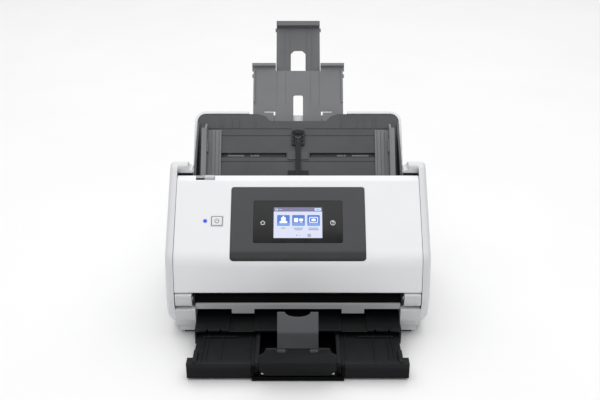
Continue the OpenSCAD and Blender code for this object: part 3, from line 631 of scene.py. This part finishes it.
def tile_pictures():
    """Generic pictograms: a rounded form on a base, two screens side by side, and a framed page."""
    first, second, third = TILE_X
    y = TILE_MIDDLE
    return [
        rounded_box(first - 4.4, first + 4.4, y - 3.6, y - 1.2, 0.8),
        rounded_box(first - 2.6, first + 2.6, y - 1.0, y + 3.2, 0.5),
        disc(first, y + 4.2, 0.9),
        rounded_box(second - 5, second - 0.4, y - 2.6, y + 2.4, 0.5),
        rounded_box(second + 0.8, second + 5.2, y - 1.4, y + 1.8, 0.4),
        bar(second + 2, y - 2.6, second + 4, y - 2.6, 0.8),
        *outline_band(rounded_box(third - 4.6, third + 4.6, y - 2.8, y + 3.2, 1.0, 3), 0.8),
        rounded_box(third - 2.4, third + 2.4, y - 1.2, y + 1.6, 0.3),
    ]


def caption_bars():
    """Plain bars in place of the words below the tiles, three to a row."""
    bars = []
    for x, halves in zip(TILE_X, CAPTION_HALVES):
        for row, half in enumerate(halves):
            y = 37.0 - 1.9 * row
            step = 2 * half / 3
            for i in range(3):
                start = x - half + i * step + 0.2
                bars.append(bar(start, y, x - half + (i + 1) * step - 0.5, y, 0.7))
    return bars


def screen_piece():
    """The lit picture on the display: header, three tiles with captions, page dots and a round key."""
    x0, x1, y0, y1 = SCREEN
    tiles = [rounded_box(x - 7.1, x + 7.1, 39.8, 52.6, 1.0) for x in TILE_X]
    feet = [rounded_box(x - 6.5, x + 6.5, 40.3, 43.2, 0.8) for x in TILE_X]
    header = outline_band(house(x0 + 3.2, HEADER_MIDDLE, 1.3), 0.35)
    header += [bar(x0 + 6, HEADER_MIDDLE, x0 + 9, HEADER_MIDDLE, 0.3)]
    badge = [rounded_box(x1 - 8.4, x1 - 1.2, 57.8, 60.7, 0.8)]
    dots = [disc(-1.2, 28.6, 0.65), disc(2.2, 28.6, 0.4)]
    key = [ring(12.6, 28.4, 2.0, 1.3), disc(12.6, 28.4, 0.7)]
    inlay("screen_picture", "cover", slope, [
        ([rounded_box(x0, x1, y0, y1, 0.4)], *layer(0), INK["page"]),
        ([rounded_box(x0, x1, HEADER_LOW, y1, 0.4)], *layer(1), INK["bar"]),
        (tiles, *layer(1), INK["tile"]),
        (feet, *layer(2), INK["tile_foot"]),
        (tile_pictures(), *layer(3), INK["picture"]),
        (caption_bars() + dots + key, *layer(1), INK["caption"]),
        (badge, *layer(2), INK["badge"]),
        (header, *layer(2), INK["picture"]),
        ([bar(x1 - 6.2, HEADER_MIDDLE, x1 - 3.4, HEADER_MIDDLE, 0.8)], *layer(3), INK["tile"]),
    ])


def glass_symbols():
    """Home symbol and ringed question mark printed beside the screen."""
    home = outline_band(house(-39.6, 43.3, 2.5), 0.7)
    help_x = 39.2
    question = [
        ring(help_x, 43.3, 2.9, 2.25),
        ring(help_x, 44.0, 1.2, 0.6, -60, 180),
        bar(help_x, 42.9, help_x, 42.6, 0.6),
        disc(help_x, 41.7, 0.4),
    ]
    inlay("panel_symbols", "cover", slope, [(home + question, *layer(0), INK["symbol"])])


def button_symbol():
    """Power symbol and the thin frame round the key."""
    cx, cy = -91.2, 45.5
    shapes = [ring(cx, cy - 0.2, 2.6, 1.9, 125, 415), bar(cx, cy + 0.4, cx, cy + 2.6, 0.7)]
    shapes += outline_band(rounded_box(cx - 6.0, cx + 6.0, cy - 5.3, cy + 5.3, 1.0, 3), 0.6)
    layers = [(shapes, 0.6, 0.64, INK["frame_line"])]
    inlay("power_symbol", "power_key", slope, layers)


def lamp_rim():
    """Pressed ring round the power light."""
    layers = [([ring(-104.6, 45.6, 2.3, 1.75)], 0, 0.12, INK["frame_line"])]
    inlay("lamp_rim", "cover", slope, layers)


# ---------- input tray ----------

# Floor of the guides' slot, the strip on it, and the marks as (distance from the middle, width).
SLOT_FLOOR = -7.2
SCALE_ENDS = (16, 100)
SCALE_MARKS = ((49, 1.6), (52.4, 2.4), (56.6, 1.2), (68, 3.0), (72.6, 4.2), (78.4, 3.6), (83.4, 3.0))
MARK_LINE = -5.2


def size_scale():
    """Paper size marks on the strip below the guides' slot, as plain bars."""
    strips, marks = [], []
    for side in (-1, 1):
        ends = sorted(side * end for end in SCALE_ENDS)
        strips.append(rounded_box(*ends, -8.0, -2.4, 0.2, 2))
        for centre, width in SCALE_MARKS:
            middle_x = side * centre
            marks.append(bar(middle_x - width / 2, MARK_LINE, middle_x + width / 2, MARK_LINE, 1.7))
    inlay("size_scale", "base", tray, [
        (strips, SLOT_FLOOR, SLOT_FLOOR + 0.05, INK["strip"]),
        (marks, SLOT_FLOOR + 0.05, SLOT_FLOOR + 0.09, INK["white_mark"]),
    ])


def clip_detail():
    """Snap hook and finger ridges on the roller cover's catch."""
    ridges = [bar(-1.7, u, 1.7, u, 0.5) for u in (9.2, 10.6, 12.0, 13.4)]
    hook = ring(0, 17.2, 3.4, 2.5, 200, 340, 12)
    pips = [disc(x, u, 0.55, 10) for x in (-6.3, 6.3) for u in (8, 12.4, 16.8)]
    inlay("clip_detail", "base", tray, [
        (ridges, 1.6, 2.4, INK["strip"]),
        ([hook] + pips, 3.4, 4.0, INK["strip"]),
    ])


# ---------- floor ----------

def add_floor():
    """Pale floor under the machine, far wider than the view."""
    mesh = bpy.data.meshes.new("floor")
    work = bmesh.new()
    bmesh.ops.create_grid(work, x_segments=2, y_segments=2, size=6)
    work.to_mesh(mesh)
    work.free()
    finish = Finish("floor")
    pale = finish.ranged(finish.noise(300, 3.0), 0, 1)
    finish.set(
        Base_Color=finish.mixed(pale, (0.90, 0.90, 0.90), (0.92, 0.92, 0.92)),
        Roughness=finish.ranged(finish.noise(120), 0.6, 0.7),
    )
    finish.bumps((finish.noise(3), 0.02))
    mesh.materials.append(finish.material)
    floor = bpy.data.objects.new("floor", mesh)
    SCENE.collection.objects.link(floor)


# ---------- making everything ----------

dress_nodes()
side_shell("left_side_cover", -1)
side_shell("right_side_cover", 1)
for node_name, edge_width in EDGE_WIDTHS.items():
    round_edges(NODES[node_name], edge_width)
screen_piece()
glass_symbols()
button_symbol()
lamp_rim()
size_scale()
clip_detail()
add_camera()
add_studio()
add_floor()
